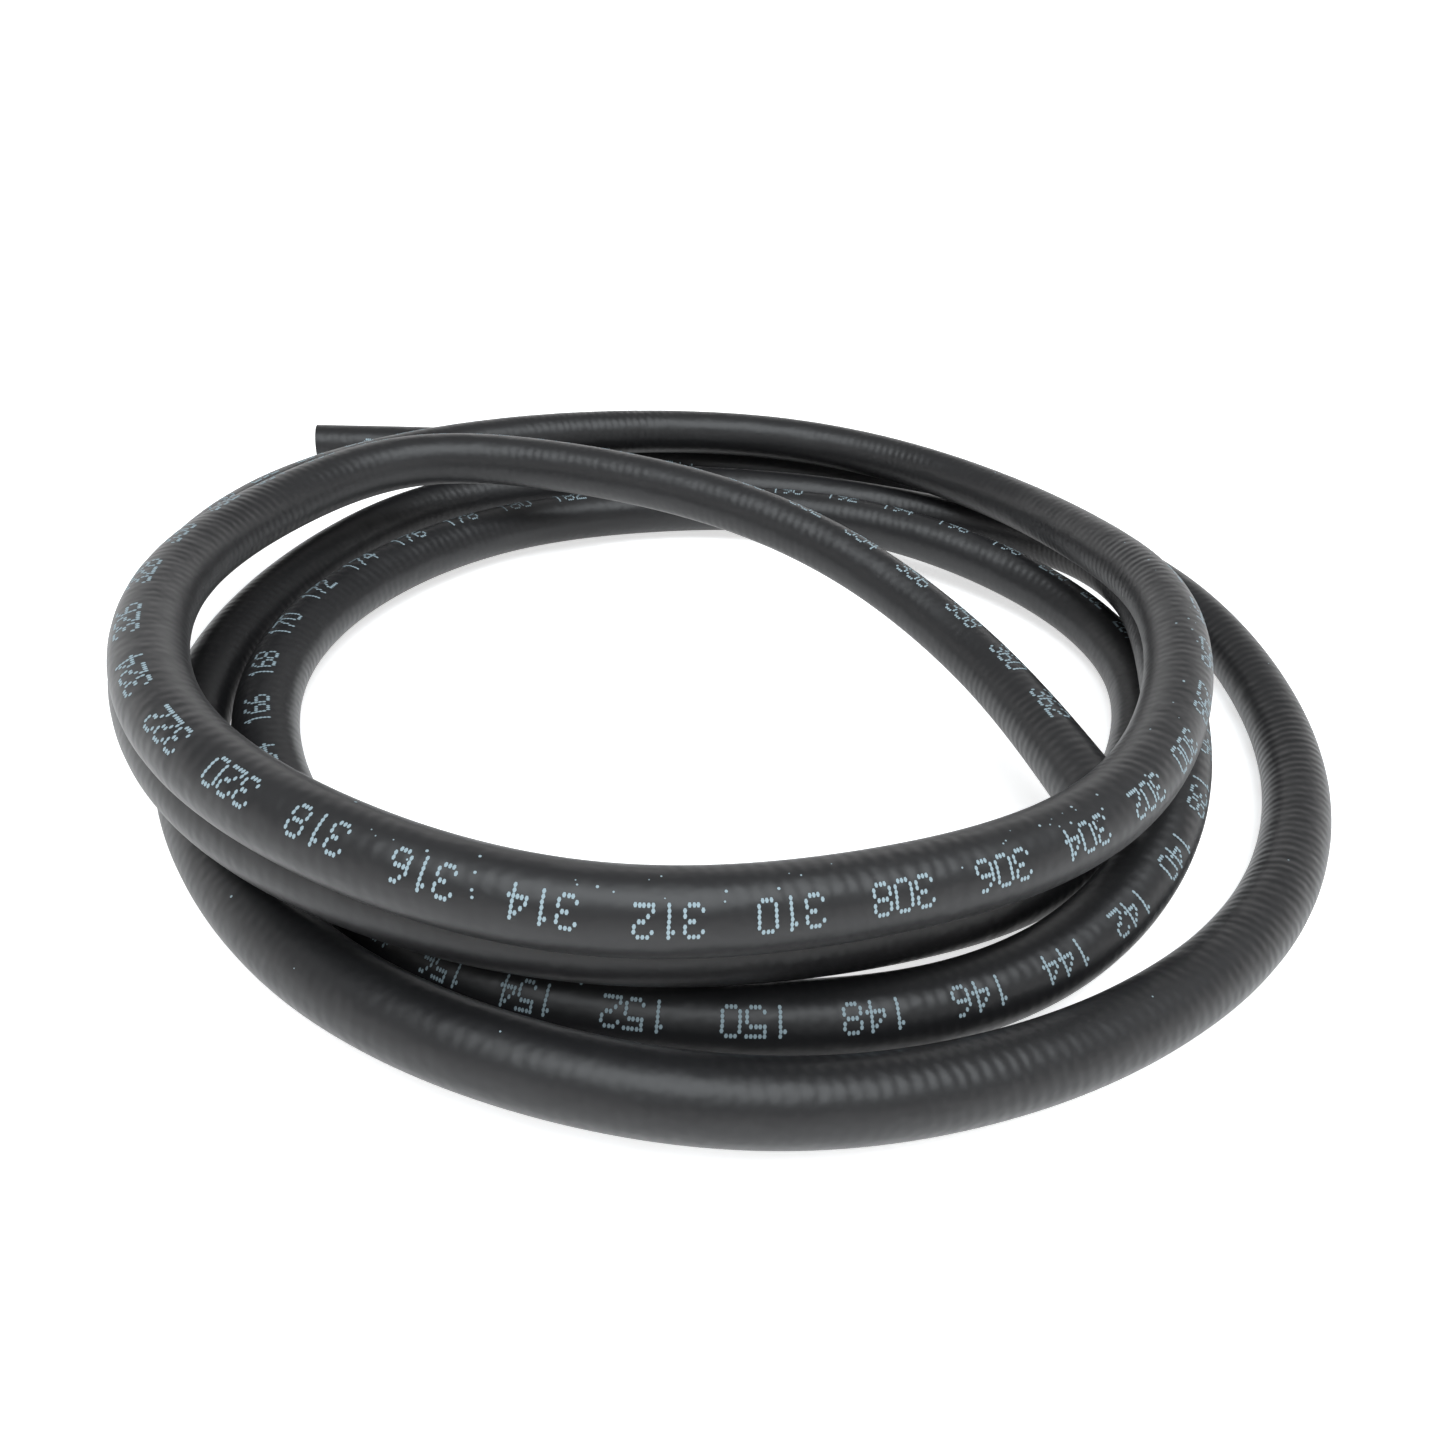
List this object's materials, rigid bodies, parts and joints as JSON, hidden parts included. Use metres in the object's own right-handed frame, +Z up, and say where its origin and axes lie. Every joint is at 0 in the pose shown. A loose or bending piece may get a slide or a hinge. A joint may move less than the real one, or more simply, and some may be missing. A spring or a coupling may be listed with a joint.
{
  "type": "fuel hose",
  "caption": "Flexible black rubber fuel hose with a smooth round bore, cut square at both ends and laid in a loose open coil.",
  "frame": {"origin": "under the middle of the coil's outline, on the surface it lies on", "axes": "+Z up, square to the coil's turns; +X to the right seen from the front; the front of the coil faces -Y, and the first cut end is at the back left, facing -X and 13 degrees round towards -Y"},
  "size_m": [0.342, 0.3082, 0.0514],
  "materials": {
    "hose_rubber": "matte, with faint slanted ripples from the reinforcement under the cover"
  },
  "bodies": {
    "root": {"hose": "hose_rubber"}
  },
  "joints": []
}
